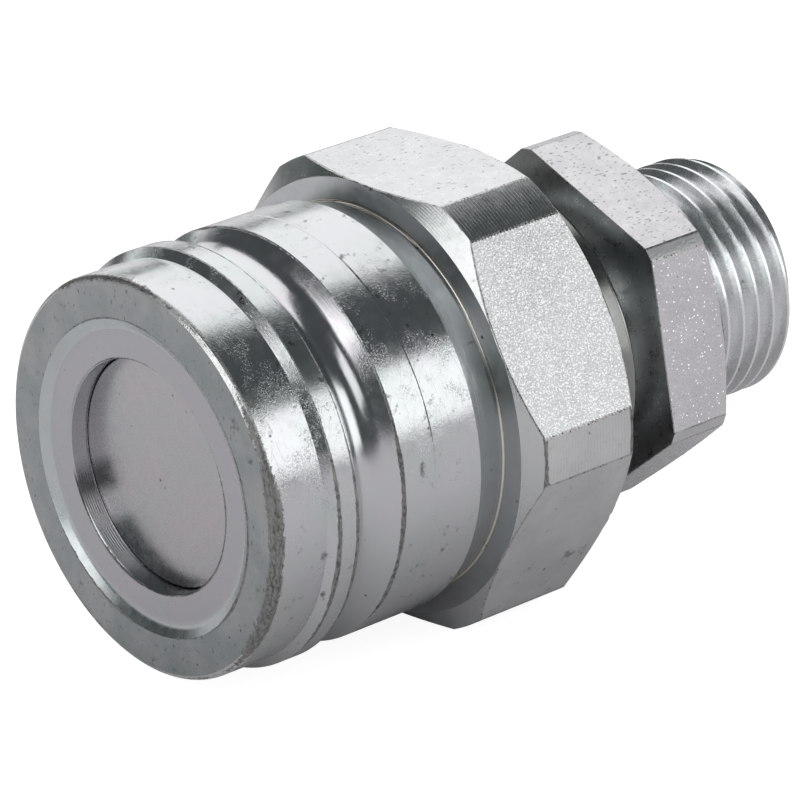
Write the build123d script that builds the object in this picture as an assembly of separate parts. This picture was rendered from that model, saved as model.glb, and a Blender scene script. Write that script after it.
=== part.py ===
from build123d import *
from math import asin, cos, degrees, radians, sin, sqrt, tan
import os

# Male half of a hydraulic brake coupling, as fitted to a tractor. It lies on a flat of
# its big hexagon. X runs along its axis, from the centre of the front face (the origin)
# towards the tube thread. Z is up. All lengths are millimetres, and every station is a
# distance along X.

# Plug nose: a land, a low step up to a ridge, and the groove for the locking balls
nose_diameter = 28.9
nose_length = 4.4
nose_edge_radius = 0.5
ridge_diameter = 30.1
ridge_step_length = 0.58
lock_groove_radius = 1.95
lock_groove_floor_diameter = 26.9
lock_groove_wall_angle = 50.0
ridge_edge_radius = 0.12

# Plain body cylinder behind the groove, with a scribed depth line
body_diameter = 30.0
body_start = 10.73
body_end = 17.65
body_edge_chamfer = 0.15
scribe_station = 13.68
scribe_width = 0.28
scribe_depth = 0.12
root_diameter = 28.3
root_fillet = 0.35

# Big hexagon of the body, its corners turned down, and the neck behind it
body_hexagon_across_flats = 32.0
body_hexagon_corner_diameter = 35.14
body_hexagon_start = 20.45
body_hexagon_length = 10.15
body_hexagon_end = body_hexagon_start + body_hexagon_length
body_hexagon_front_chamfer = 0.95
body_hexagon_back_chamfer = 1.15
neck_diameter = 24.6
neck_length = 4.5
neck_end = body_hexagon_end + neck_length
neck_edge_radius = 0.5

# Shallow recess in the front face, and the bore that the poppet closes
recess_rim_diameter = 22.8
recess_floor_diameter = 21.6
recess_depth = 0.45
front_bore_diameter = 16.8
front_bore_end = 7.6
front_bore_edge_chamfer = 0.12

# Flow chamber inside the body, and the bore behind it
seat_angle = 45.0
chamber_diameter = 21.0
chamber_end = 17.2
guide_bore_diameter = 18.0
snap_groove_depth = 0.75
snap_groove_diameter = guide_bore_diameter + 2 * snap_groove_depth

# Screwed joint between the body and the adapter, drawn at its pitch diameter
joint_thread_step = 0.6
joint_thread_diameter = guide_bore_diameter + 2 * joint_thread_step
joint_thread_start = 28.6
joint_thread_end = 34.4
joint_thread_mouth_chamfer = 0.6
joint_neck_undercut = 0.7
joint_neck_diameter = joint_thread_diameter - 2 * joint_neck_undercut

# Poppet: a flat head, a seal groove, a stop flange, a shoulder and a stem. The head
# runs in the front bore, and the flange laps over the seat behind it.
poppet_head_clearance = 0.24
poppet_head_diameter = front_bore_diameter - 2 * poppet_head_clearance
poppet_recess = 1.9
poppet_edge_chamfer = 0.15
poppet_flange_lap = 0.45
poppet_flange_backing = 0.95
poppet_flange_diameter = front_bore_diameter + 2 * poppet_flange_lap
poppet_flange_end = front_bore_end + poppet_flange_lap / tan(radians(seat_angle)) + poppet_flange_backing
poppet_shoulder_diameter = 7.2
poppet_stem_diameter = 5.0
poppet_stem_end = 27.0
poppet_stem_chamfer = 0.6
poppet_travel = 5.0
poppet_seal_groove_start = 4.5
poppet_seal_groove_width = 2.0
poppet_seal_section = 1.6

# Guide: a ring, a hub and three spokes between them
guide_ring_start = 20.4
guide_ring_length = 2.5
guide_ring_wall = 1.4
guide_hub_diameter = 8.0
guide_hub_lead = 2.0
guide_hub_tail = 2.1
guide_spoke_count = 3
guide_spoke_width = 2.4
guide_edge_chamfer = 0.3

# Retaining ring behind the guide, open at the bottom, with an eye at each end
snap_ring_thickness = 1.1
snap_ring_width = 1.61
snap_ring_gap_angle = 56.0
snap_ring_eye_diameter = 3.0
snap_ring_eye_hole_diameter = 1.3
snap_ring_eye_inset = 1.5

# Valve spring, of round wire with closed ends
spring_wire_diameter = 1.1
spring_mean_diameter = 11.0
spring_open_turns = 3.0
spring_closed_turns = 0.75

# Adapter: a spigot with its seals, the screwed joint, a small hexagon, a tube end
spigot_start = 24.6
spigot_mouth_diameter = 12.8
spigot_edge_chamfer = 0.4
adapter_groove_start = 25.2
adapter_groove_width = 2.6
adapter_seal_section = 1.5
backup_ring_length = 0.95
adapter_hexagon_across_flats = 24.0
adapter_hexagon_corner_diameter = 27.14
adapter_hexagon_start = 37.8
adapter_hexagon_length = 5.86
adapter_hexagon_end = adapter_hexagon_start + adapter_hexagon_length
adapter_hexagon_back_chamfer = 0.75
adapter_hexagon_turn = 20.2
fluid_bore_diameter = 10.0

# Tube end: the relief behind the thread, the thread, and its cone for a 12 mm tube
relief_diameter = 16.0
relief_length = 1.7
tube_thread_diameter = 18.0
tube_end = 53.9
tube_thread_chamfer = 0.8
tube_cone_mouth_diameter = 14.0
tube_cone_half_angle = 12.0
tube_socket_diameter = 12.1
tube_socket_depth = 9.5

# Clearances
guide_slip_clearance = 0.05
stem_running_clearance = 0.05
seat_clearance = 0.05
seal_clearance = 0.03
joint_thread_clearance = 0.05
ring_clearance = 0.04
spring_end_clearance = 0.02
spring_coil_clearance = 0.02
travel_end_clearance = 0.05

AXIS = Axis.X
CROSS_SECTION = Plane.YZ


def turned(outline):
    """Solid turned about X from a closed outline of (station, radius) points."""
    with BuildPart() as piece:
        with BuildSketch(Plane.XY):
            with BuildLine():
                Polyline(*outline, close=True)
            make_face()
        revolve(axis=AXIS)
    return piece.part


def ring(start, length, inner_diameter, outer_diameter):
    """Plain ring of rectangular section."""
    inner = inner_diameter / 2
    outer = outer_diameter / 2
    end = start + length
    return turned([(start, inner), (end, inner), (end, outer), (start, outer)])


def outer_edges(piece):
    """The two outer circular edges of a plain ring, in order along X."""
    circles = piece.edges().filter_by(GeomType.CIRCLE)
    return circles.sort_by(SortBy.RADIUS)[-2:].sort_by(AXIS)


def seal_ring(station, inner_diameter, section):
    """Ring of round section, centred on a station."""
    with BuildPart() as piece:
        with BuildSketch(Plane.XY):
            with Locations((station, inner_diameter / 2 + section / 2)):
                Circle(section / 2)
        revolve(axis=AXIS)
    return piece.part


def hexagon_bar(across_flats, start, length, turn=0.0):
    """Hexagon bar with a flat on top, or turned about X from there by an angle."""
    section = RegularPolygon(across_flats / 2, 6, major_radius=False, rotation=turn)
    return extrude(CROSS_SECTION.offset(start) * section, length)


def spindle(start, length, face_diameter, corner_diameter, front_chamfer, back_chamfer):
    """Turned blank that takes a hexagon's corners down and chamfers its ends."""
    face = face_diameter / 2
    corner = corner_diameter / 2
    end = start + length
    return turned([
        (start, 0),
        (start, face),
        (start + front_chamfer, corner),
        (end - back_chamfer, corner),
        (end, face),
        (end, 0),
    ])


def lock_groove_geometry():
    """Centre, start and wall points of the ball groove, as (station, radius)."""
    wall = radians(lock_groove_wall_angle)
    floor = lock_groove_floor_diameter / 2
    body = body_diameter / 2 - body_edge_chamfer
    wall_foot = floor + lock_groove_radius * (1 - cos(wall))
    centre_radius = floor + lock_groove_radius
    foot_station = body_start - (body - wall_foot) / tan(wall)
    centre_station = foot_station - lock_groove_radius * sin(wall)
    rise = centre_radius - ridge_diameter / 2
    ridge_end = centre_station - sqrt(lock_groove_radius**2 - rise**2)
    return {
        "start": (ridge_end, ridge_diameter / 2),
        "floor": (centre_station, floor),
        "foot": (foot_station, wall_foot),
        "top": (body_start, body),
    }


def plug_blank():
    """Outside of the plug, from the front face to the big hexagon."""
    nose = nose_diameter / 2
    ridge = ridge_diameter / 2
    body = body_diameter / 2
    root = root_diameter / 2
    ridge_start = nose_length + ridge_step_length
    groove = lock_groove_geometry()
    with BuildPart() as blank:
        with BuildSketch(Plane.XY) as section:
            with BuildLine():
                Polyline((0, 0), (0, nose), (nose_length, nose), (ridge_start, ridge), groove["start"])
                ThreePointArc(groove["start"], groove["floor"], groove["foot"])
                Polyline(
                    groove["foot"],
                    groove["top"],
                    (body_start + body_edge_chamfer, body),
                    (body_end, body),
                    (body_hexagon_start, root),
                    (body_hexagon_start, 0),
                    (0, 0),
                )
            make_face()
            rim = section.vertices().sort_by_distance((0, nose))[0]
            fillet(rim, nose_edge_radius)
            ridge_edges = [
                section.vertices().sort_by_distance((ridge_start, ridge))[0],
                section.vertices().sort_by_distance(groove["start"])[0],
            ]
            fillet(ridge_edges, ridge_edge_radius)
        revolve(axis=AXIS)
    return blank.part


def scribe_cut():
    """V-shaped depth line round the body cylinder.

    The cutter stands as far above the surface as it cuts below it, so its own
    half width up there is the line's whole width.
    """
    body = body_diameter / 2
    return turned([
        (scribe_station - scribe_width, body + scribe_depth),
        (scribe_station, body - scribe_depth),
        (scribe_station + scribe_width, body + scribe_depth),
    ])


def coupling_body():
    """Plug, big hexagon and neck, turned from one bar, with its stepped bore."""
    hexagon = hexagon_bar(body_hexagon_across_flats, body_hexagon_start, body_hexagon_length)
    hexagon &= spindle(
        body_hexagon_start,
        body_hexagon_length,
        body_hexagon_across_flats,
        body_hexagon_corner_diameter,
        body_hexagon_front_chamfer,
        body_hexagon_back_chamfer,
    )
    neck = ring(body_hexagon_end, neck_length, guide_bore_diameter, neck_diameter)
    neck = fillet(outer_edges(neck)[-1], neck_edge_radius)
    body = plug_blank() + hexagon
    root = body.edges().filter_by(GeomType.CIRCLE).sort_by_distance((body_hexagon_start, 0, 0))[0]
    body = fillet(root, root_fillet) + neck - scribe_cut()
    body -= front_recess_cut()
    body -= body_bore_cut()
    return body


def front_recess_cut():
    """Shallow recess in the front face, with a sloping wall."""
    rim = recess_rim_diameter / 2
    floor = recess_floor_diameter / 2
    return turned([(0, 0), (0, rim), (recess_depth, floor), (recess_depth, 0)])


def body_bore_cut():
    """Everything bored out of the body: poppet bore, seat, chamber and thread."""
    front = front_bore_diameter / 2
    chamber = chamber_diameter / 2
    guide = guide_bore_diameter / 2
    thread = joint_thread_diameter / 2 + joint_thread_clearance
    seat_length = (chamber - front) / tan(radians(seat_angle))
    chamber_run_in = chamber - guide
    thread_run_in = thread - guide
    bore = turned([
        (0, 0),
        (0, front + front_bore_edge_chamfer),
        (recess_depth, front + front_bore_edge_chamfer),
        (recess_depth + front_bore_edge_chamfer, front),
        (front_bore_end, front),
        (front_bore_end + seat_length, chamber),
        (chamber_end, chamber),
        (chamber_end + chamber_run_in, guide),
        (joint_thread_start - thread_run_in, guide),
        (joint_thread_start, thread),
        (neck_end - joint_thread_mouth_chamfer, thread),
        (neck_end, thread + joint_thread_mouth_chamfer),
        (neck_end, 0),
    ])
    snap_groove = ring(snap_groove_start(), snap_groove_width(), 0, snap_groove_diameter)
    return bore + snap_groove


def snap_groove_start():
    """Front wall of the retaining ring's groove, level with the guide's back."""
    return guide_ring_start + guide_ring_length


def snap_groove_width():
    """The retaining ring's groove is wider than the ring by a clearance each side."""
    return snap_ring_thickness + 2 * ring_clearance


def poppet():
    """Flat-faced valve poppet with its seal groove, stop flange and stem."""
    head = poppet_head_diameter / 2
    flange = poppet_flange_diameter / 2
    shoulder = poppet_shoulder_diameter / 2
    stem = poppet_stem_diameter / 2
    groove = poppet_groove_diameter() / 2
    groove_end = poppet_seal_groove_start + poppet_seal_groove_width
    seat = radians(seat_angle)
    cone_length = (flange - head) / tan(seat)
    head_below_bore = front_bore_diameter / 2 - head
    cone_start = front_bore_end + seat_clearance / sin(seat) - head_below_bore / tan(seat)
    shoulder_end = guide_ring_start - guide_hub_lead - poppet_travel - travel_end_clearance
    return turned([
        (poppet_recess, 0),
        (poppet_recess, head - poppet_edge_chamfer),
        (poppet_recess + poppet_edge_chamfer, head),
        (poppet_seal_groove_start, head),
        (poppet_seal_groove_start, groove),
        (groove_end, groove),
        (groove_end, head),
        (cone_start, head),
        (cone_start + cone_length, flange),
        (poppet_flange_end, flange),
        (poppet_flange_end, shoulder),
        (shoulder_end, shoulder),
        (shoulder_end, stem),
        (poppet_stem_end - poppet_stem_chamfer, stem),
        (poppet_stem_end, stem - poppet_stem_chamfer),
        (poppet_stem_end, 0),
    ])


def poppet_groove_diameter():
    """Root of the poppet's groove, so that its seal just clears the front bore."""
    return front_bore_diameter - 2 * (poppet_seal_section + 2 * seal_clearance)


def poppet_seal_ring():
    """Seal between the poppet's head and the front bore."""
    station = poppet_seal_groove_start + poppet_seal_groove_width / 2
    return seal_ring(station, poppet_groove_diameter() + 2 * seal_clearance, poppet_seal_section)


def poppet_guide():
    """Guide that carries the stem: a hub held in a ring by spokes."""
    outer = guide_bore_diameter - 2 * guide_slip_clearance
    inner = outer - 2 * guide_ring_wall
    hub_length = guide_hub_lead + guide_ring_length + guide_hub_tail
    hub_start = guide_ring_start - guide_hub_lead
    stem_bore = poppet_stem_diameter + 2 * stem_running_clearance
    rim = ring(guide_ring_start, guide_ring_length, inner, outer)
    rim = chamfer(outer_edges(rim), guide_edge_chamfer)
    hub = ring(hub_start, hub_length, stem_bore, guide_hub_diameter)
    hub = chamfer(outer_edges(hub), guide_edge_chamfer)
    guide = rim + hub
    reach_in = (guide_hub_diameter + stem_bore) / 4
    reach_out = inner / 2 + guide_ring_wall / 2
    spoke_place = guide_ring_start + guide_ring_length / 2
    spoke_centre = (reach_in + reach_out) / 2
    for number in range(guide_spoke_count):
        spoke = Pos(spoke_place, 0, spoke_centre) * Box(
            guide_ring_length, guide_spoke_width, reach_out - reach_in
        )
        guide += Rot(number * 360 / guide_spoke_count, 0, 0) * spoke
    return guide


def guide_retaining_ring():
    """Open spring ring in the body's groove, which keeps the guide in."""
    outer = snap_groove_diameter / 2 - ring_clearance
    inner = outer - snap_ring_width
    start = snap_groove_start() + ring_clearance
    half_gap = snap_ring_gap_angle / 2
    gap_half_width = outer * tan(radians(half_gap))
    opening = Polyline((0, 0), (-gap_half_width, -outer), (gap_half_width, -outer), close=True)
    outline = Circle(outer) - Circle(inner) - make_face(opening)
    eye_radius = snap_ring_eye_diameter / 2
    eye_reach = inner + snap_ring_eye_inset - eye_radius
    eye_angle = half_gap + degrees(asin(eye_radius / eye_reach))
    eye = Circle(eye_radius) + Pos(0, -eye_radius / 2) * Rectangle(2 * eye_radius, eye_radius)
    for side in (-1, 1):
        place = Rot(0, 0, side * eye_angle) * Pos(0, -eye_reach)
        outline += place * eye
        outline -= place * Circle(snap_ring_eye_hole_diameter / 2)
    return extrude(CROSS_SECTION.offset(start) * (outline & Circle(outer)), snap_ring_thickness)


def spring_path(start, length):
    """Helix of the spring's wire: closed turns at each end and open turns between."""
    radius = spring_mean_diameter / 2
    closed_pitch = spring_wire_diameter + spring_coil_clearance
    closed_rise = spring_closed_turns * closed_pitch
    open_rise = length - 2 * closed_rise
    open_pitch = open_rise / spring_open_turns
    closed_angle = 360 * spring_closed_turns
    open_angle = 360 * spring_open_turns
    first = Helix(closed_pitch, closed_rise, radius)
    middle = Rot(0, 0, closed_angle) * Helix(open_pitch, open_rise, radius)
    last = Rot(0, 0, closed_angle + open_angle) * Helix(closed_pitch, closed_rise, radius)
    wire = Wire([
        *first.edges(),
        *(Pos(0, 0, closed_rise) * middle).edges(),
        *(Pos(0, 0, closed_rise + open_rise) * last).edges(),
    ])
    return Pos(start, 0, 0) * Rot(0, 90, 0) * wire


def valve_spring():
    """Compression spring between the poppet's flange and the guide."""
    start = poppet_flange_end + spring_end_clearance + spring_wire_diameter / 2
    end = guide_ring_start - spring_end_clearance - spring_wire_diameter / 2
    path = spring_path(start, end - start)
    section = Plane(origin=path @ 0, z_dir=path % 0) * Circle(spring_wire_diameter / 2)
    return sweep(section, path=path, transition=Transition.TRANSFORMED)


def adapter_groove_diameter():
    """Root of the spigot's groove, so that its seal just clears the guide bore."""
    return guide_bore_diameter - 2 * (adapter_seal_section + 2 * seal_clearance)


def thread_adapter():
    """Adapter from the body's thread to the tube thread, bored right through."""
    spigot = guide_bore_diameter / 2 - guide_slip_clearance
    groove = adapter_groove_diameter() / 2
    groove_end = adapter_groove_start + adapter_groove_width
    thread = joint_thread_diameter / 2
    thread_run_in = thread - spigot
    neck = joint_neck_diameter / 2
    relief = relief_diameter / 2
    tube_thread = tube_thread_diameter / 2
    hexagon = hexagon_bar(
        adapter_hexagon_across_flats, adapter_hexagon_start, adapter_hexagon_length, adapter_hexagon_turn
    )
    hexagon &= spindle(
        adapter_hexagon_start,
        adapter_hexagon_length,
        adapter_hexagon_across_flats,
        adapter_hexagon_corner_diameter,
        0,
        adapter_hexagon_back_chamfer,
    )
    stem = turned([
        (spigot_start, 0),
        (spigot_start, spigot - spigot_edge_chamfer),
        (spigot_start + spigot_edge_chamfer, spigot),
        (adapter_groove_start, spigot),
        (adapter_groove_start, groove),
        (groove_end, groove),
        (groove_end, spigot),
        (joint_thread_start + joint_thread_clearance - thread_run_in, spigot),
        (joint_thread_start + joint_thread_clearance, thread),
        (joint_thread_end, thread),
        (joint_thread_end + thread - neck, neck),
        (adapter_hexagon_start, neck),
        (adapter_hexagon_end, neck),
        (adapter_hexagon_end, relief),
        (adapter_hexagon_end + relief_length, relief),
        (adapter_hexagon_end + relief_length + tube_thread - relief, tube_thread),
        (tube_end - tube_thread_chamfer, tube_thread),
        (tube_end, tube_thread - tube_thread_chamfer),
        (tube_end, 0),
    ])
    return stem + hexagon - adapter_bore_cut()


def adapter_bore_cut():
    """Fluid bore with its flared mouth, tube socket and sealing cone."""
    bore = fluid_bore_diameter / 2
    mouth = spigot_mouth_diameter / 2
    socket = tube_socket_diameter / 2
    cone_mouth = tube_cone_mouth_diameter / 2
    cone_length = (cone_mouth - socket) / tan(radians(tube_cone_half_angle))
    return turned([
        (spigot_start, 0),
        (spigot_start, mouth),
        (spigot_start + mouth - bore, bore),
        (tube_end - tube_socket_depth, bore),
        (tube_end - tube_socket_depth, socket),
        (tube_end - cone_length, socket),
        (tube_end, cone_mouth),
        (tube_end, 0),
    ])


def adapter_seal_ring():
    """Seal between the adapter's spigot and the body, at the pressure side."""
    station = adapter_groove_start + adapter_seal_section / 2 + ring_clearance
    return seal_ring(station, adapter_groove_diameter() + 2 * seal_clearance, adapter_seal_section)


def adapter_backup_ring():
    """Flat ring that backs the seal up."""
    start = adapter_groove_start + adapter_groove_width - backup_ring_length - ring_clearance
    inner = adapter_groove_diameter() + 2 * seal_clearance
    outer = guide_bore_diameter - 2 * seal_clearance
    return ring(start, backup_ring_length, inner, outer)


PIECES = {
    "coupling_body": coupling_body,
    "poppet": poppet,
    "poppet_seal_ring": poppet_seal_ring,
    "valve_spring": valve_spring,
    "poppet_guide": poppet_guide,
    "guide_retaining_ring": guide_retaining_ring,
    "thread_adapter": thread_adapter,
    "adapter_seal_ring": adapter_seal_ring,
    "adapter_backup_ring": adapter_backup_ring,
}

os.makedirs("parts", exist_ok=True)
for name, make_piece in PIECES.items():
    export_step(Part() + make_piece(), f"parts/{name}.step")
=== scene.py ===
"""Looks of a hydraulic brake coupling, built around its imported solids.

Everything is in metres. X runs along the coupling's axis from its front face, Z is up,
and the coupling lies on a flat of its big hexagon. The turned pieces that show are
modelled again with finer edges, turning marks and a helical thread, and the pieces
inside keep their solids and get finishes of their own.
"""
import logging
from collections.abc import Callable, Iterable
from dataclasses import dataclass
from enum import Enum
from math import asin, atan2, ceil, cos, pi, radians, sin, sqrt, tan

import bpy
from mathutils import Matrix, Vector


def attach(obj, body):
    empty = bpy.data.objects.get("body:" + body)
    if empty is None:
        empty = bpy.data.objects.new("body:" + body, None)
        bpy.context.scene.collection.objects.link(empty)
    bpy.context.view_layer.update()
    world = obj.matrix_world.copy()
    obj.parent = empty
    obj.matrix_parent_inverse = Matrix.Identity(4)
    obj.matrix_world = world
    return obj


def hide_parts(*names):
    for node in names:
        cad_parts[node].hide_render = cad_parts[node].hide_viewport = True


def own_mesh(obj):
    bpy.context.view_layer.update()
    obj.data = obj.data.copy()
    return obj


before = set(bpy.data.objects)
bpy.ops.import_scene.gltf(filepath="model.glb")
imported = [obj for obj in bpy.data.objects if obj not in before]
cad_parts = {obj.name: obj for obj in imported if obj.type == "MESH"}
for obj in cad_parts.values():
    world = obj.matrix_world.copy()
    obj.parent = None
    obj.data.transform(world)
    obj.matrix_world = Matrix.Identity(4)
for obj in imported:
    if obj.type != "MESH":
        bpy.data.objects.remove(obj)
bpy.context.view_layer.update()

LOG = logging.getLogger("brake_coupling")

# Modelling: distances in metres, angles in degrees.
MERGE_DISTANCE = 1e-6
LATHE_STEPS = 288
POPPET_LATHE_STEPS = 192
WIRE_SIDES = 4
SHARP_ANGLE = 12
WIRE_SHARP_ANGLE = 50
AROUND_RADIUS = 0.015
FLAT_NORMALS = tuple(Vector((0.0, sin(turn), cos(turn))) for turn in (0.0, pi / 3, -pi / 3))
LAMP_DISTANCE = 0.6

# Limits that sort a piece's faces into finishes: shares of a unit normal, then metres.
ALONG_AXIS = 0.97
SQUARE_TO_AXIS = 0.99
MOSTLY = 0.9
SLOPED = 0.1
RIM_LEAN = 0.05
FILLET_LEAN = 0.3
ACROSS_AXIS = 0.001
FLAT_TOLERANCE = 0.00001
FILLET_MARGIN = 0.000004
NEAR = 0.0001

Point = tuple[float, float]
Triple = tuple[float, float, float]
Colour = Triple
Socket = bpy.types.NodeSocket
Coats = list[tuple[bpy.types.Material, Callable[[Vector, Vector], bool]]]


class Body(Enum):
    """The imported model's moving bodies."""

    COUPLING = "coupling"
    VALVE = "valve"


class Slot(Enum):
    """The record's material slots."""

    BODY = "body_zinc"
    ADAPTER = "adapter_zinc"
    POPPET = "poppet_steel"
    SPRING = "spring_steel"


class Lay(Enum):
    """The way that a tool's marks run over a surface."""

    AROUND = "around"
    ACROSS_FACE = "across_face"
    NONE = "none"


class Bench:
    """Modelling steps on one mesh, made with Blender's own operators."""

    def __init__(self, name: str) -> None:
        """Keeps the name of a piece that is still to be drawn."""
        self.name = name
        self.object: bpy.types.Object | None = None

    @staticmethod
    def clear_selection() -> None:
        """Deselects every object, in object mode."""
        if bpy.context.object and bpy.context.object.mode != "OBJECT":
            bpy.ops.object.mode_set(mode="OBJECT")
        bpy.ops.object.select_all(action="DESELECT")

    def _activate(self) -> None:
        """Makes this piece the only selected and active one."""
        self.clear_selection()
        self.object.select_set(True)
        bpy.context.view_layer.objects.active = self.object

    def edit(self, mode: str = "VERT") -> None:
        """Enters edit mode with nothing selected.

        Args:
            mode: the kind of element to select, VERT, EDGE or FACE.
        """
        self._activate()
        bpy.ops.object.mode_set(mode="EDIT")
        bpy.ops.mesh.select_mode(type=mode)
        bpy.ops.mesh.select_all(action="DESELECT")

    def finish_edit(self) -> None:
        """Goes back to object mode."""
        bpy.ops.object.mode_set(mode="OBJECT")

    def draw(self, outline: list[Point], closed: bool) -> None:
        """Draws an outline in the X-Z plane by extruding one vertex along it.

        Args:
            outline: (station, radius) points in order.
            closed: whether the last point joins the first.
        """
        self.draw_path([Vector((station, 0.0, radius)) for station, radius in outline])
        if closed:
            self.edit()
            self._pick_vertices([outline[0], outline[-1]])
            bpy.ops.mesh.edge_face_add()
            self.finish_edit()

    def draw_path(self, path: list[Vector]) -> None:
        """Draws a line through points by extruding one vertex along them.

        Args:
            path: the points in order.
        """
        self.clear_selection()
        bpy.ops.mesh.primitive_plane_add(size=MERGE_DISTANCE, location=path[0])
        self.object = bpy.context.object
        self.object.name = self.name
        self.object.data.name = self.name
        bpy.ops.object.mode_set(mode="EDIT")
        bpy.ops.mesh.select_mode(type="VERT")
        bpy.ops.mesh.select_all(action="SELECT")
        bpy.ops.mesh.merge(type="CENTER")
        for before, after in zip(path, path[1:]):
            bpy.ops.mesh.extrude_region_move(TRANSFORM_OT_translate={"value": after - before})
        self.finish_edit()
        self.settle()

    def thicken(self, radius: float) -> None:
        """Turns a drawn line into a round closed bar of a radius.

        Args:
            radius: the bar's radius.
        """
        self._activate()
        bpy.ops.object.convert(target="CURVE")
        curve = self.object.data
        curve.bevel_depth = radius
        curve.bevel_resolution = WIRE_SIDES
        curve.use_fill_caps = True
        bpy.ops.object.convert(target="MESH")
        self.object = bpy.context.object
        self.object.data.name = self.name
        self.edit()
        self.merge()
        self.finish_edit()

    @staticmethod
    def merge() -> None:
        """Merges doubled vertices and points all faces outwards, from inside edit mode."""
        bpy.ops.mesh.select_all(action="SELECT")
        bpy.ops.mesh.remove_doubles(threshold=MERGE_DISTANCE)
        bpy.ops.mesh.normals_make_consistent(inside=False)

    def settle(self) -> None:
        """Applies the object's place, so that it is in its mesh."""
        self._activate()
        bpy.ops.object.transform_apply(location=True, rotation=True, scale=True)

    def _pick_vertices(self, points: Iterable[Point]) -> None:
        """Selects the vertices nearest to outline points, from inside edit mode.

        Args:
            points: (station, radius) points of the outline.
        """
        bpy.ops.object.mode_set(mode="OBJECT")
        vertices = self.object.data.vertices
        for vertex in vertices:
            vertex.select = False
        for station, radius in points:
            target = Vector((station, 0.0, radius))
            nearest = min(vertices, key=lambda v: (v.co - target).length_squared)
            nearest.select = True
        bpy.ops.object.mode_set(mode="EDIT")

    def _pick(self, kind: str, wanted: Callable[[bpy.types.bpy_struct], bool]) -> None:
        """Enters edit mode with the faces or edges that pass a test selected.

        Args:
            kind: FACE or EDGE.
            wanted: the test, which is given one face or edge.
        """
        self.edit(kind)
        bpy.ops.object.mode_set(mode="OBJECT")
        mesh = self.object.data
        for element in mesh.polygons if kind == "FACE" else mesh.edges:
            element.select = wanted(element)
        bpy.ops.object.mode_set(mode="EDIT")

    def round_corner(self, corner: Point, radius: float, turn: float, steps: int) -> None:
        """Rounds one corner of the outline to an arc.

        Args:
            corner: the sharp corner's (station, radius).
            radius: the arc's radius.
            turn: the angle by which the outline turns there, in radians.
            steps: the number of edges in the arc.
        """
        self.edit()
        self._pick_vertices([corner])
        reach = radius * tan(turn / 2)
        bpy.ops.mesh.bevel(offset=reach, segments=steps, affect="VERTICES", offset_type="OFFSET")
        self.finish_edit()

    def turn(self, steps: int = LATHE_STEPS) -> None:
        """Spins the outline a full turn about X and closes the seam.

        Args:
            steps: the number of faces round the piece.
        """
        self.edit()
        bpy.ops.mesh.select_all(action="SELECT")
        bpy.ops.mesh.spin(steps=steps, angle=2 * pi, center=(0, 0, 0), axis=(1, 0, 0))
        self.merge()
        self.finish_edit()

    def mill_hexagon(self, apothem: float, start: float, end: float, turned: float) -> None:
        """Cuts six flats and fills each cut.

        Args:
            apothem: half of the size across flats.
            start: the station where the flats may start.
            end: the station where they end.
            turned: the first flat's angle from the top towards the camera side, in radians.
        """
        for number in range(6):
            angle = turned + number * pi / 3
            normal = Vector((0.0, -sin(angle), cos(angle)))
            self._pick("FACE", lambda f: start - MERGE_DISTANCE <= f.center.x <= end + MERGE_DISTANCE)
            bpy.ops.mesh.bisect(
                plane_co=normal * apothem, plane_no=normal, use_fill=True, clear_outer=True,
                threshold=MERGE_DISTANCE / 10,
            )
            self.finish_edit()

    def paint(self, slots: Coats) -> None:
        """Gives faces their finishes.

        Args:
            slots: (finish, test) pairs. A later test that a face passes wins. A test
                is given the face's centre and normal.
        """
        mesh = self.object.data
        mesh.materials.clear()
        for material, _ in slots:
            mesh.materials.append(material)
        for number, (_, belongs) in enumerate(slots):
            self._pick("FACE", lambda f: belongs(f.center, f.normal))
            self.object.active_material_index = number
            bpy.ops.object.material_slot_assign()
            self.finish_edit()

    def wear_edges(self, finishes: list[str], width: float) -> None:
        """Bevels the edges round some finishes, and gives the bevels the last finish.

        Args:
            finishes: names of the finishes whose outer edges are worn.
            width: the bevel's width.
        """
        mesh = self.object.data
        inside: dict[tuple[int, int], set[bool]] = {}
        for face in mesh.polygons:
            belongs = mesh.materials[face.material_index].name in finishes
            for key in face.edge_keys:
                inside.setdefault(key, set()).add(belongs)
        last = len(mesh.materials) - 1
        self._pick("EDGE", lambda e: len(inside[e.key]) == 2)
        bpy.ops.mesh.bevel(offset=width, segments=1, affect="EDGES", material=last)
        self.finish_edit()

    def smooth(self, angle: float) -> None:
        """Shades the piece smooth, apart from edges sharper than an angle in degrees."""
        self._activate()
        bpy.ops.object.shade_smooth_by_angle(angle=radians(angle))

    def cut_away(self, cutter: bpy.types.Object) -> None:
        """Subtracts another piece, which is then removed.

        Args:
            cutter: the piece to subtract.
        """
        self._activate()
        modifier = self.object.modifiers.new("cut", "BOOLEAN")
        modifier.operation = "DIFFERENCE"
        modifier.solver = "EXACT"
        modifier.object = cutter
        bpy.ops.object.modifier_apply(modifier=modifier.name)
        bpy.data.objects.remove(cutter)


def arc(centre: Point, radius: float, start: float, end: float, steps: int) -> list[Point]:
    """Points of an arc in the outline's plane, its first point left out.

    Args:
        centre: the (station, radius) of the arc's centre.
        radius: the arc's radius.
        start: the angle from +X where it starts, in radians.
        end: the angle where it ends.
        steps: the number of edges.

    Returns:
        The points after the start, up to and including the end.
    """
    angles = [start + (end - start) * step / steps for step in range(1, steps + 1)]
    return [(centre[0] + radius * cos(a), centre[1] + radius * sin(a)) for a in angles]


def radius_at(place: Vector) -> float:
    """Distance of a place from the coupling's axis."""
    return sqrt(place.y**2 + place.z**2)


@dataclass(frozen=True)
class Cloud:
    """Noise with blobs of one size in metres, stretched so that a range of it fills 0 to 1."""

    size: float
    detail: float = 2.0
    roughness: float = 0.5
    low: float = 0.0
    high: float = 1.0


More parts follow.
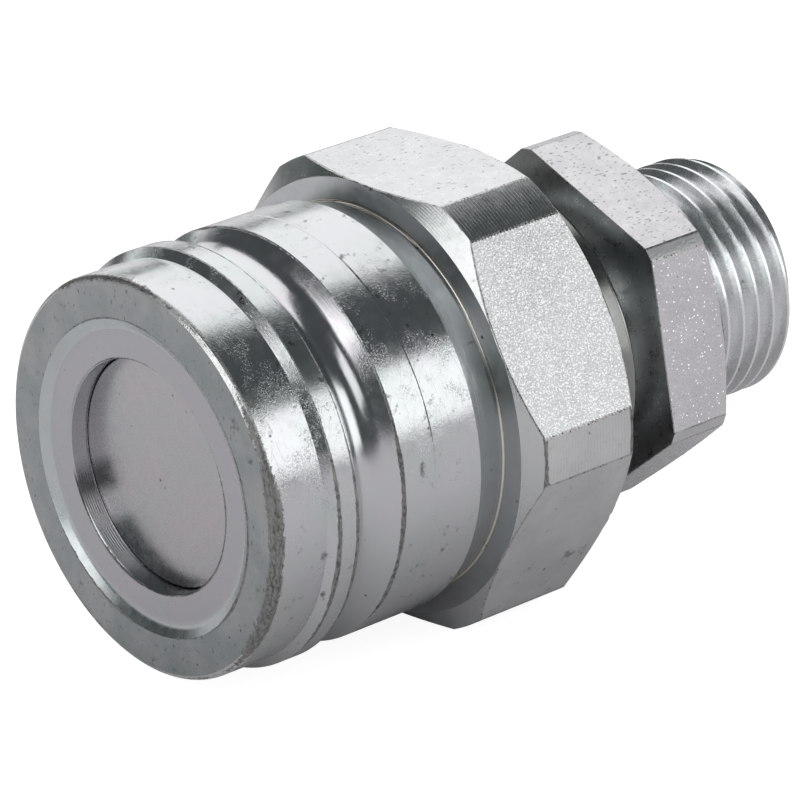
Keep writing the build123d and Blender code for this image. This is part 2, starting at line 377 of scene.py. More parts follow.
# The clouds that the finishes are made of.
ROUGH_PATCHES = Cloud(0.0009, 4.0, 0.65, 0.3, 0.7)
BLOTCHES = Cloud(0.004, 4.0, 0.6, 0.38, 0.62)
PIT_PATCHES = Cloud(0.0021, 2.0, 0.5, 0.5, 0.6)
STAINS = Cloud(0.0016, 5.0, 0.7, 0.61, 0.69)
WORN_STREAKS = Cloud(0.00017, 4.0, 0.7, 0.42, 0.6)
WORN_PATCHES = Cloud(0.0011, 3.0, 0.5, 0.38, 0.6)
WORN_GRAIN = Cloud(0.00016, 3.0, 0.7)
RAGGED_FINE = Cloud(0.0003, 5.0, 0.75)
RAGGED_BROAD = Cloud(0.0045, 3.0)
SCUFF_SPECKS = Cloud(0.00013, 3.0, 0.65, 0.5, 0.66)
SCUFF_PATCHES = Cloud(0.0024, 5.0, 0.7, 0.46, 0.62)
SCRATCHES = Cloud(0.00012, 0.0, 0.5, 0.74, 0.8)
PLAIN_BLOTCHES = Cloud(0.002, 3.0)
PLAIN_GRAIN = Cloud(0.00015)
PLAIN_SHADE = 0.85
SPECK_CORE = 0.6


class Graph:
    """Adds and links nodes in one node tree."""

    def __init__(self, tree: bpy.types.NodeTree) -> None:
        """Starts on a node tree that exists already."""
        self.tree = tree

    def add(self, kind: str, **settings: object) -> bpy.types.Node:
        """Adds a node and sets its properties.

        Args:
            kind: the node's type.
            settings: its properties by name.

        Returns:
            The new node.
        """
        node = self.tree.nodes.new(kind)
        for name, value in settings.items():
            setattr(node, name, value)
        return node

    def feed(self, socket: Socket, value: object) -> None:
        """Links a socket to another one, or sets its own value.

        Args:
            socket: the input to set.
            value: another socket, or a plain value.
        """
        if isinstance(value, Socket):
            self.tree.links.new(value, socket)
        else:
            socket.default_value = value

    def math(self, operation: str, first: object, second: object = 0.0) -> Socket:
        """One math step on two values.

        Args:
            operation: the step's name.
            first: a socket or number.
            second: a socket or number.

        Returns:
            The result's socket.
        """
        node = self.add("ShaderNodeMath", operation=operation)
        self.feed(node.inputs[0], first)
        self.feed(node.inputs[1], second)
        return node.outputs[0]

    def between(self, value: object, low: float, high: float, bottom: float = 0.0,
                top: float = 1.0) -> Socket:
        """Maps a value from one range to another, held at its ends.

        Args:
            value: the socket or number to map.
            low: the value that becomes bottom.
            high: the value that becomes top.
            bottom: the result at low.
            top: the result at high.

        Returns:
            The result's socket.
        """
        node = self.add("ShaderNodeMapRange", clamp=True)
        self.feed(node.inputs["Value"], value)
        for name, limit in (("From Min", low), ("From Max", high), ("To Min", bottom), ("To Max", top)):
            node.inputs[name].default_value = limit
        return node.outputs[0]

    def parts(self, vector: Socket) -> list[Socket]:
        """The three numbers of a vector.

        Args:
            vector: the vector's socket.

        Returns:
            The sockets of X, Y and Z.
        """
        node = self.add("ShaderNodeSeparateXYZ")
        self.feed(node.inputs[0], vector)
        return list(node.outputs)

    def length(self, first: Socket, second: Socket) -> Socket:
        """The length of a step that goes by two numbers at right angles."""
        squares = [self.math("MULTIPLY", side, side) for side in (first, second)]
        return self.math("SQRT", self.math("ADD", *squares))

    def blend(self, share: object, first: object, second: object) -> Socket:
        """Mixes two shaders by a share.

        Args:
            share: how much of the second shader shows.
            first: the shader at 0.
            second: the shader at 1.

        Returns:
            The mixed shader's socket.
        """
        node = self.add("ShaderNodeMixShader")
        for socket, value in zip(node.inputs, (share, first, second)):
            self.feed(socket, value)
        return node.outputs[0]


class Recipe(Graph):
    """Builds one node material, step by step."""

    def __init__(self, name: str) -> None:
        """Starts a material with its shader and coordinates.

        Args:
            name: the material's name.
        """
        self.material = bpy.data.materials.new(name)
        self.material.use_nodes = True
        super().__init__(self.material.node_tree)
        self.shader = self.tree.nodes["Principled BSDF"]
        self.coordinates = self.add("ShaderNodeTexCoord").outputs["Object"]

    def polar(self) -> Socket:
        """Object coordinates as (station, radius, way round at a 15 mm radius).

        Returns:
            The vector's socket.
        """
        station, aside, up = self.parts(self.coordinates)
        around = self.math("MULTIPLY", self.math("ARCTAN2", aside, up), AROUND_RADIUS)
        joined = self.add("ShaderNodeCombineXYZ")
        for socket, value in zip(joined.inputs, (station, self.length(aside, up), around)):
            self.feed(socket, value)
        return joined.outputs[0]

    def stretched(self, vector: Socket, scale: Triple, turn: Triple = (0.0, 0.0, 0.0)) -> Socket:
        """A copy of a vector with its own scale and turn.

        Args:
            vector: the coordinates.
            scale: the scale along each axis.
            turn: the turn about each axis, in radians.

        Returns:
            The new coordinates' socket.
        """
        node = self.add("ShaderNodeMapping")
        self.feed(node.inputs["Vector"], vector)
        node.inputs["Scale"].default_value = scale
        node.inputs["Rotation"].default_value = turn
        return node.outputs[0]

    def noise(self, vector: Socket, size: float, detail: float = 2.0,
              roughness: float = 0.5) -> Socket:
        """Noise whose blobs are about a size in metres across.

        Args:
            vector: the coordinates.
            size: the blobs' size in metres.
            detail: the number of finer layers.
            roughness: the strength of the finer layers.

        Returns:
            The noise's socket, from 0 to 1.
        """
        node = self.add("ShaderNodeTexNoise")
        self.feed(node.inputs["Vector"], vector)
        node.inputs["Scale"].default_value = 1.0 / size
        node.inputs["Detail"].default_value = detail
        node.inputs["Roughness"].default_value = roughness
        return node.outputs[0]

    def cloud(self, vector: Socket, cloud: Cloud, bottom: float = 0.0,
              top: float = 1.0) -> Socket:
        """Noise as a cloud describes it, mapped to run from bottom to top."""
        raw = self.noise(vector, cloud.size, cloud.detail, cloud.roughness)
        return self.between(raw, cloud.low, cloud.high, bottom, top)

    def cells(self, spacing: float) -> bpy.types.Node:
        """Cells at a mean distance in metres, each with a colour of its own.

        Args:
            spacing: the distance in metres.

        Returns:
            The cells' node.
        """
        node = self.add("ShaderNodeTexVoronoi")
        self.feed(node.inputs["Vector"], self.coordinates)
        node.inputs["Scale"].default_value = 1.0 / spacing
        return node

    def specks(self, spacing: float, share: float) -> Socket:
        """Scattered specks: 1 on a speck and 0 elsewhere.

        Args:
            spacing: the mean distance between specks, in metres.
            share: a speck's radius as a share of the spacing.

        Returns:
            The mask's socket.
        """
        return self.between(self.cells(spacing).outputs["Distance"], share, share * SPECK_CORE)

    def facets(self, spacing: float, share: float, tilt: float,
               below: Socket | None) -> Socket:
        """Small flat facets, each tilted its own way.

        Args:
            spacing: the mean distance between facets, in metres.
            share: a facet's radius as a share of the spacing.
            tilt: how far a facet may lean, as a slope.
            below: the normal that they lean from, or None for the surface's own.

        Returns:
            The normal's socket.
        """
        mask = self.specks(spacing, share)
        lean = self.add("ShaderNodeVectorMath", operation="SUBTRACT")
        self.feed(lean.inputs[0], self.cells(spacing).outputs["Color"])
        lean.inputs[1].default_value = (0.5, 0.5, 0.5)
        scaled = self.add("ShaderNodeVectorMath", operation="SCALE")
        self.feed(scaled.inputs[0], lean.outputs[0])
        self.feed(scaled.inputs["Scale"], self.math("MULTIPLY", mask, tilt))
        total = self.add("ShaderNodeVectorMath", operation="ADD")
        own = self.add("ShaderNodeNewGeometry").outputs["Normal"]
        self.feed(total.inputs[0], own if below is None else below)
        self.feed(total.inputs[1], scaled.outputs[0])
        unit = self.add("ShaderNodeVectorMath", operation="NORMALIZE")
        self.feed(unit.inputs[0], total.outputs[0])
        return unit.outputs[0]

    def tint(self, share: object, first: object, second: object) -> Socket:
        """Mixes two colours by a share.

        Args:
            share: how much of the second colour shows.
            first: the colour or socket at 0.
            second: the colour or socket at 1.

        Returns:
            The mixed colour's socket.
        """
        node = self.add("ShaderNodeMix", data_type="RGBA")
        self.feed(node.inputs[0], share)
        self.feed(node.inputs[6], first if isinstance(first, Socket) else (*first, 1.0))
        self.feed(node.inputs[7], second if isinstance(second, Socket) else (*second, 1.0))
        return node.outputs[2]

    def bump(self, height: Socket, depth: float,
             below: Socket | None = None) -> Socket:
        """A bump of a real depth in metres, on top of another bump if one is given.

        Args:
            height: the relief, from 0 to 1.
            depth: the height of a 1 in metres.
            below: the normal under it, or None.

        Returns:
            The normal's socket.
        """
        node = self.add("ShaderNodeBump")
        node.inputs["Strength"].default_value = 1.0
        node.inputs["Distance"].default_value = depth
        self.feed(node.inputs["Height"], height)
        if below is not None:
            self.feed(node.inputs["Normal"], below)
        return node.outputs[0]


@dataclass(frozen=True)
class WornRing:
    """An edge that runs round the axis and has lost its shine."""

    station: float
    radius: float
    reach: float


# What all metal finishes share. MOST_WORN_AT is in degrees from the top towards the camera side.
# The glint colour below is painted light: the near-white given to glint specks, standing in for their
# highlights.
PAINTED_GLINT_COLOUR = (0.95, 0.95, 0.95)
WORN_COLOUR = (0.37, 0.37, 0.36)
MOST_WORN_AT = 100.0
WORN_BUMP = 0.00004
SCUFF_ROUGHNESS = 0.55
WORN_ROUGHNESS = 0.42
SCRATCH_TURNS = (0.15, 2.75)
SCRATCH_STRENGTH = 0.45
SCRATCH_SHAPE = (1.0, 0.5, 0.1)
STREAK_SHAPE = (1.0, 1.0, 0.45)
MARK_SHAPES = {Lay.AROUND: (1.0, 0.0, 0.03), Lay.ACROSS_FACE: (0.0, 1.0, 0.03)}
RAGGED_FINE_SWING = 1.6
RAGGED_BROAD_SWING = 1.5
WEAR_SWING = 0.8
WEAR_LEVEL = 0.45
WEAR_EDGE = (-0.15, 0.35)


@dataclass(frozen=True)
class MetalFinish:
    """A plated or bare steel surface with tool marks, dents, scratches and wear; some also have painted
    glints or painted shade.
    """

    name: str
    colour: Colour
    tint: Colour
    roughness: float = 0.22
    lay: Lay = Lay.NONE
    unevenness: float = 0.22
    mark_width: float = 0.00009
    mark_depth: float = 0.0
    line_pitch: float = 0.0
    line_depth: float = 0.0
    grain_size: float = 0.00016
    grain_depth: float = 0.0
    worm_size: float = 0.0
    worm_tone_and_painted_glint: float = 0.0
    worm_range: tuple[float, float] = (0.5, 0.66)
    worm_shape: Triple = (1.0, 1.0, 1.0)
    glint_spacing: float = 0.0
    glint_share: float = 0.0
    glint_tilt: float = 0.5
    pit_spacing: float = 0.0016
    pit_share: float = 0.1
    pit_everywhere: bool = False
    scuffs: float = 0.0
    scuff_depth: float = 0.000008
    stains: float = 0.0
    dark: Colour = (0.13, 0.13, 0.125)
    worn: tuple[WornRing, ...] = ()

    def make(self) -> bpy.types.Material:
        """Builds the material.

        Returns:
            The finished node material.
        """
        recipe = Recipe(self.name)
        polar = recipe.polar()
        wear = self._wear(recipe, polar)
        scuffs = self._scuffs(recipe, polar)
        recipe.feed(recipe.shader.inputs["Base Color"], self._colour(recipe, polar, wear))
        recipe.shader.inputs["Metallic"].default_value = 1.0
        spread = self.roughness * self.unevenness
        rough = recipe.cloud(recipe.coordinates, ROUGH_PATCHES, self.roughness - spread,
                             self.roughness + spread)
        for mask, value in ((scuffs, SCUFF_ROUGHNESS), (wear, WORN_ROUGHNESS)):
            if mask is not None:
                rough = recipe.math("MAXIMUM", rough, recipe.math("MULTIPLY", mask, value))
        recipe.feed(recipe.shader.inputs["Roughness"], rough)
        normal = self._normal(recipe, polar, scuffs, wear)
        if normal is not None:
            recipe.feed(recipe.shader.inputs["Normal"], normal)
        return recipe.material

    def _colour(self, recipe: Recipe, polar: Socket,
                wear: Socket | None) -> Socket:
        """Base colour with soft blotches, worms, pits, stains and worn edges, plus painted glints:
        near-white specks, and light worms where a finish sets them.

        Args:
            recipe: the material's nodes.
            polar: coordinates along, out from and round the axis.
            wear: how worn each place is, or None.

        Returns:
            The colour's socket.
        """
        colour = recipe.tint(recipe.cloud(recipe.coordinates, BLOTCHES), self.colour, self.tint)
        # Worms in a light tone, as on the side flats, are painted glints.
        if self.worm_size:
            shaped = recipe.stretched(recipe.coordinates, self.worm_shape)
            ridges = recipe.between(recipe.noise(shaped, self.worm_size, 1.0, 0.4), *self.worm_range)
            colour = recipe.tint(ridges, colour, (self.worm_tone_and_painted_glint,) * 3)
        pits = recipe.specks(self.pit_spacing, self.pit_share)
        if not self.pit_everywhere:
            pits = recipe.math("MULTIPLY", pits, recipe.cloud(recipe.coordinates, PIT_PATCHES))
        colour = recipe.tint(pits, colour, self.dark)
        # Painted glints: near-white specks in the base colour stand in for highlights.
        if self.glint_share:
            glints = recipe.specks(self.glint_spacing, self.glint_share)
            colour = recipe.tint(glints, colour, PAINTED_GLINT_COLOUR)
        if self.stains:
            stain = recipe.cloud(recipe.coordinates, STAINS)
            colour = recipe.tint(recipe.math("MULTIPLY", stain, self.stains), colour, self.dark)
        if wear is not None:
            colour = recipe.tint(wear, colour, self._worn_mix(recipe, polar))
        return colour

    def _worn_mix(self, recipe: Recipe, polar: Socket) -> Socket:
        """Colour of a worn edge: dull steel with dark streaks that run round the axis.

        Args:
            recipe: the material's nodes.
            polar: coordinates along, out from and round the axis.

        Returns:
            The colour's socket.
        """
        streaks = recipe.cloud(recipe.stretched(polar, STREAK_SHAPE), WORN_STREAKS)
        patches = recipe.cloud(recipe.coordinates, WORN_PATCHES, bottom=0.5)
        return recipe.tint(recipe.math("MULTIPLY", streaks, patches), WORN_COLOUR, self.dark)

    def _wear(self, recipe: Recipe, polar: Socket) -> Socket | None:
        """How worn each place is, from 0 to 1, with a ragged edge.

        Args:
            recipe: the material's nodes.
            polar: coordinates along, out from and round the axis.

        Returns:
            The mask's socket, or None on a finish without worn edges.
        """
        if not self.worn:
            return None
        station, radius, around = recipe.parts(polar)
        fine = recipe.cloud(recipe.coordinates, RAGGED_FINE, -RAGGED_FINE_SWING, RAGGED_FINE_SWING)
        broad = recipe.cloud(recipe.coordinates, RAGGED_BROAD, -RAGGED_BROAD_SWING, RAGGED_BROAD_SWING)
        ragged = recipe.math("ADD", fine, broad)
        facing = recipe.math("DIVIDE", around, -AROUND_RADIUS)
        facing = recipe.math("SUBTRACT", facing, radians(MOST_WORN_AT))
        once = recipe.math("COSINE", facing)
        thrice = recipe.math("COSINE", recipe.math("MULTIPLY", facing, 3.0))
        swing = recipe.math("MULTIPLY", recipe.math("ADD", once, thrice), WEAR_SWING)
        ragged = recipe.math("ADD", recipe.math("ADD", ragged, swing), WEAR_LEVEL)
        wear = None
        for ring in self.worn:
            along = recipe.math("SUBTRACT", station, ring.station)
            across = recipe.math("SUBTRACT", radius, ring.radius)
            away = recipe.math("DIVIDE", recipe.length(along, across), ring.reach)
            mask = recipe.between(recipe.math("SUBTRACT", ragged, away), *WEAR_EDGE)
            wear = mask if wear is None else recipe.math("MAXIMUM", wear, mask)
        return wear

    def _scuffs(self, recipe: Recipe, polar: Socket) -> Socket | None:
        """Patches of fine specks and a few thin scratches, from 0 to 1.

        Args:
            recipe: the material's nodes.
            polar: coordinates along, out from and round the axis.

        Returns:
            The mask's socket, or None on a finish without scuffs.
        """
        if not self.scuffs:
            return None
        total = recipe.math("MULTIPLY", recipe.cloud(recipe.coordinates, SCUFF_SPECKS),
                            recipe.cloud(recipe.coordinates, SCUFF_PATCHES))
        for angle in SCRATCH_TURNS:
            turned = recipe.stretched(polar, (1.0, 1.0, 1.0), (0.0, angle, 0.0))
            line = recipe.cloud(recipe.stretched(turned, SCRATCH_SHAPE), SCRATCHES, top=SCRATCH_STRENGTH)
            total = recipe.math("MAXIMUM", total, line)
        return recipe.math("MULTIPLY", total, self.scuffs)

    def _normal(self, recipe: Recipe, polar: Socket, scuffs: Socket | None,
                wear: Socket | None) -> Socket | None:
        """Relief from tool marks, lines, grain, glints, scuffs and worn edges.

        Args:
            recipe: the material's nodes.
            polar: coordinates along, out from and round the axis.
            scuffs: how scuffed each place is, or None.
            wear: how worn each place is, or None.

        Returns:
            The normal's socket, or None on a finish without relief.
        """
        plain = recipe.coordinates
        normal = None
        if self.mark_depth:
            marks = recipe.noise(recipe.stretched(polar, MARK_SHAPES[self.lay]), self.mark_width, 3.0, 0.7)
            normal = recipe.bump(marks, self.mark_depth, normal)
        if self.line_depth:
            station, radius, _ = recipe.parts(polar)
            across = station if self.lay is Lay.AROUND else radius
            phase = recipe.math("MULTIPLY", across, 2 * pi / self.line_pitch)
            normal = recipe.bump(recipe.math("SINE", phase), self.line_depth, normal)
        if self.grain_depth:
            grain = recipe.noise(plain, self.grain_size, 2.0, 0.5)
            normal = recipe.bump(grain, self.grain_depth, normal)
        if self.glint_share:
            normal = recipe.facets(self.glint_spacing, self.glint_share, self.glint_tilt, normal)
        if scuffs is not None:
            normal = recipe.bump(scuffs, self.scuff_depth, normal)
        if wear is not None:
            rough = recipe.cloud(plain, WORN_GRAIN)
            normal = recipe.bump(recipe.math("MULTIPLY", rough, wear), WORN_BUMP, normal)
        return normal


NOSE_EDGE_WEAR = WornRing(0.00015, 0.01428, 0.0003)
RIM_WEAR = (
    NOSE_EDGE_WEAR,
    WornRing(0.0, 0.01143, 0.00008),
    WornRing(0.00045, 0.00848, 0.0001),
)
LAND_WEAR = (
    NOSE_EDGE_WEAR,
    WornRing(0.00505, 0.01505, 0.00009),
    WornRing(0.0066, 0.01505, 0.00008),
    WornRing(0.01078, 0.01495, 0.00009),
    WornRing(0.02142, 0.01757, 0.0001),
    WornRing(0.02945, 0.01757, 0.0001),
)

BRIGHT_TURNED = MetalFinish(
    "bright_turned_zinc", (0.655, 0.69, 0.685), (0.70, 0.70, 0.72), 0.2, Lay.AROUND,
    mark_depth=0.0000034, grain_depth=0.0000038, scuffs=0.85, stains=0.8, worn=LAND_WEAR,
)
RIM_EDGE = MetalFinish(
    "rim_edge_zinc", (0.80, 0.81, 0.80), (0.72, 0.73, 0.73), 0.3,
    grain_size=0.00012, grain_depth=0.00003, worn=LAND_WEAR,
)
FRONT_FACE = MetalFinish(
    "faced_zinc", (0.37, 0.405, 0.405), (0.47, 0.485, 0.49), 0.3, Lay.ACROSS_FACE,
    mark_depth=0.0000016, grain_depth=0.0000025, worm_size=0.00024, worm_tone_and_painted_glint=0.2,
    worm_range=(0.68, 0.76), worm_shape=(1.0, 1.0, 0.4), scuffs=0.5, pit_spacing=0.0011, stains=0.75,
    worn=RIM_WEAR,
)
RECESS = MetalFinish(
    "recess_zinc", (0.56, 0.57, 0.59), (0.58, 0.56, 0.595), 0.24, Lay.ACROSS_FACE,
    mark_depth=0.0000014, scuffs=0.3, worn=RIM_WEAR,
)
# Painted light: the recess bevel is a lighter copy of the recess's zinc, making up for the shaded floor
# that it mirrors.
RECESS_BEVEL_PAINTED_LIGHT = MetalFinish(
    "recess_bevel_zinc_painted_light", (0.63, 0.67, 0.67), (0.60, 0.63, 0.64), 0.24, Lay.ACROSS_FACE,
    mark_depth=0.0000014, worn=RIM_WEAR,
)
GROOVE = MetalFinish(
    "groove_zinc", (0.68, 0.71, 0.71), (0.71, 0.69, 0.72), 0.18, Lay.AROUND,
    mark_depth=0.0000026, scuffs=0.3, worn=LAND_WEAR,
)
CHAMFER = MetalFinish(
    "chamfer_zinc", (0.66, 0.69, 0.68), (0.69, 0.70, 0.70), 0.24, Lay.ACROSS_FACE,
    line_pitch=0.00017, line_depth=0.0000036, grain_depth=0.000003, scuffs=0.3, worn=LAND_WEAR,
)
SHOULDER = MetalFinish(
    "shoulder_zinc", (0.74, 0.77, 0.77), (0.70, 0.71, 0.73), 0.36, Lay.ACROSS_FACE,
    mark_depth=0.000003, grain_depth=0.000004, scuffs=0.3,
)
# Painted shade: the root cone below the hexagon's shoulder has a darker zinc than the body, which dims the
# lamp that it mirrors.
ROOT_CONE_PAINTED_SHADE = MetalFinish(
    "root_cone_zinc_painted_shade", (0.45, 0.49, 0.49), (0.49, 0.50, 0.51), 0.2, Lay.AROUND,
    mark_width=0.00014, mark_depth=0.000026, scuffs=0.5,
)
# Painted highlight tint: the root fillet's light, warm zinc turns its lamp highlight gold.
ROOT_FILLET_PAINTED_HIGHLIGHT_TINT = MetalFinish(
    "root_fillet_painted_highlight_tint", (0.86, 0.80, 0.70), (0.80, 0.77, 0.71), 0.2, Lay.AROUND, mark_depth=0.000001,
)
CORNER_LAND = MetalFinish(
    "corner_land_zinc", (0.66, 0.67, 0.67), (0.74, 0.75, 0.75), 0.23,
    grain_depth=0.000003, scuffs=0.15, stains=0.2, worn=LAND_WEAR,
)
# Painted shade and painted glints: the side flats have a darker zinc than the other flats to offset the
# lamp that they mirror, and their light worms are glints.
SIDE_FLAT_PAINTED_SHADE_AND_GLINTS = MetalFinish(
    "side_flat_zinc_painted_shade_and_glints", (0.50, 0.51, 0.52), (0.55, 0.56, 0.57), 0.3,
    unevenness=0.02, grain_size=0.00018, grain_depth=0.00002, worm_size=0.00012, worm_tone_and_painted_glint=0.88,
    pit_share=0.0,
)
TOP_FLAT = MetalFinish(
    "top_flat_zinc", (0.76, 0.77, 0.77), (0.81, 0.81, 0.82), 0.3,
    grain_size=0.0003, grain_depth=0.00001, worm_size=0.00019, worm_tone_and_painted_glint=0.36,
    worm_range=(0.68, 0.75), worm_shape=(0.35, 1.0, 1.0), scuffs=0.3, pit_spacing=0.0009, stains=0.45,
)
# Painted light: the lower flats have a lighter zinc than the side flats, making up for the shaded floor
# that they mirror.
LOWER_FLAT_PAINTED_LIGHT = MetalFinish(
    "lower_flat_zinc_painted_light", (0.72, 0.73, 0.74), (0.80, 0.80, 0.81), 0.38,
    grain_size=0.00034, grain_depth=0.00003, scuffs=0.5, stains=0.55,
)
PITTED_FLAT = MetalFinish(
    "pitted_flat_zinc", (0.64, 0.625, 0.645), (0.70, 0.69, 0.71), 0.3,
    grain_size=0.00025, grain_depth=0.000012, worm_size=0.00019, worm_tone_and_painted_glint=0.3,
    worm_range=(0.62, 0.72), worm_shape=(0.5, 1.0, 1.0), pit_share=0.0,
)
# Painted glints: besides tilting its facets, this finish colours their specks near white.
SPARKLING_FLAT = MetalFinish(
    "sparkling_flat_zinc", (0.68, 0.67, 0.69), (0.73, 0.72, 0.74), 0.26,
    grain_size=0.0002, grain_depth=0.000012, glint_spacing=0.00025, glint_share=0.28, glint_tilt=0.75,
    pit_share=0.0,
)
SMALL_HEXAGON_FACE = MetalFinish(
    "small_hexagon_face_zinc", (0.48, 0.51, 0.51), (0.53, 0.545, 0.545), 0.3, Lay.ACROSS_FACE,
    mark_depth=0.000003, grain_depth=0.000003, pit_share=0.0,
)
BORE_WALL = MetalFinish(
    "bore_wall_zinc", (0.60, 0.61, 0.62), (0.56, 0.57, 0.59), 0.17, Lay.AROUND,
    line_pitch=0.00019, line_depth=0.0000045, mark_depth=0.000002, worn=RIM_WEAR,
)
POPPET_FACE = MetalFinish(
    "poppet_face_zinc", (0.62, 0.585, 0.605), (0.58, 0.59, 0.60), 0.27, Lay.ACROSS_FACE,
    mark_depth=0.0000012, grain_depth=0.0000018, scuffs=0.3, pit_spacing=0.0013, pit_share=0.12,
)
# Painted shade: the neck, the faces behind the big hexagon and its back chamfer have a much darker zinc
# than the turned body, standing in for the shade between the hexagons.
NECK_PAINTED_SHADE = MetalFinish(
    "neck_zinc_painted_shade", (0.27, 0.275, 0.265), (0.34, 0.345, 0.33), 0.22, Lay.AROUND,
    mark_depth=0.000003, grain_depth=0.000003,
)
# Painted light: the thread has a lighter zinc than the adapter's other faces, which brightens its
# highlight.
THREAD_PAINTED_LIGHT = MetalFinish(
    "thread_zinc_painted_light", (0.88, 0.90, 0.90), (0.84, 0.84, 0.86), 0.26, Lay.AROUND,
    mark_depth=0.0000014, grain_depth=0.000002,
)
WORN_EDGE = MetalFinish(
    "worn_edge_zinc", (0.44, 0.44, 0.43), (0.66, 0.66, 0.65), 0.36,
    grain_size=0.0002, grain_depth=0.00005, pit_spacing=0.00026, pit_share=0.34,
    pit_everywhere=True, dark=(0.09, 0.09, 0.088),
)
SMALL_CORNER_LAND = MetalFinish(
    "small_corner_land_zinc", (0.66, 0.66, 0.67), (0.72, 0.71, 0.73), 0.5,
    grain_size=0.0002, grain_depth=0.00003,
)
GUIDE_STEEL = MetalFinish(
    "guide_turned_steel", (0.50, 0.51, 0.52), (0.46, 0.47, 0.48), 0.3, Lay.AROUND, mark_depth=0.000002,
)
SPRING_WIRE = MetalFinish(
    "spring_drawn_wire", (0.35, 0.35, 0.36), (0.30, 0.30, 0.31), 0.32,
    grain_size=0.0002, grain_depth=0.000004,
)


@dataclass(frozen=True)
class PlainFinish:
    """A rubber or plastic surface in one colour, with a fine grain."""

    name: str
    colour: Colour
    roughness: float
    grain_depth: float = 0.000003

    def make(self) -> bpy.types.Material:
        """Builds the material.

        Returns:
            The finished node material.
        """
        recipe = Recipe(self.name)
        blotch = recipe.cloud(recipe.coordinates, PLAIN_BLOTCHES)
        deeper = tuple(part * PLAIN_SHADE for part in self.colour)
        recipe.feed(recipe.shader.inputs["Base Color"], recipe.tint(blotch, self.colour, deeper))
        recipe.shader.inputs["Roughness"].default_value = self.roughness
        grain = recipe.cloud(recipe.coordinates, PLAIN_GRAIN)
        recipe.feed(recipe.shader.inputs["Normal"], recipe.bump(grain, self.grain_depth))
        return recipe.material


SEAL_RUBBER = PlainFinish("seal_nitrile_rubber", (0.03, 0.03, 0.03), 0.5)
BACKUP_PLASTIC = PlainFinish("backup_white_plastic", (0.85, 0.84, 0.80), 0.45)
INNER_FINISHES = {
    "poppet_seal_ring": SEAL_RUBBER,
    "adapter_seal_ring": SEAL_RUBBER,
    "adapter_backup_ring": BACKUP_PLASTIC,
    "poppet_guide": GUIDE_STEEL,
    "guide_retaining_ring": SPRING_WIRE,
}


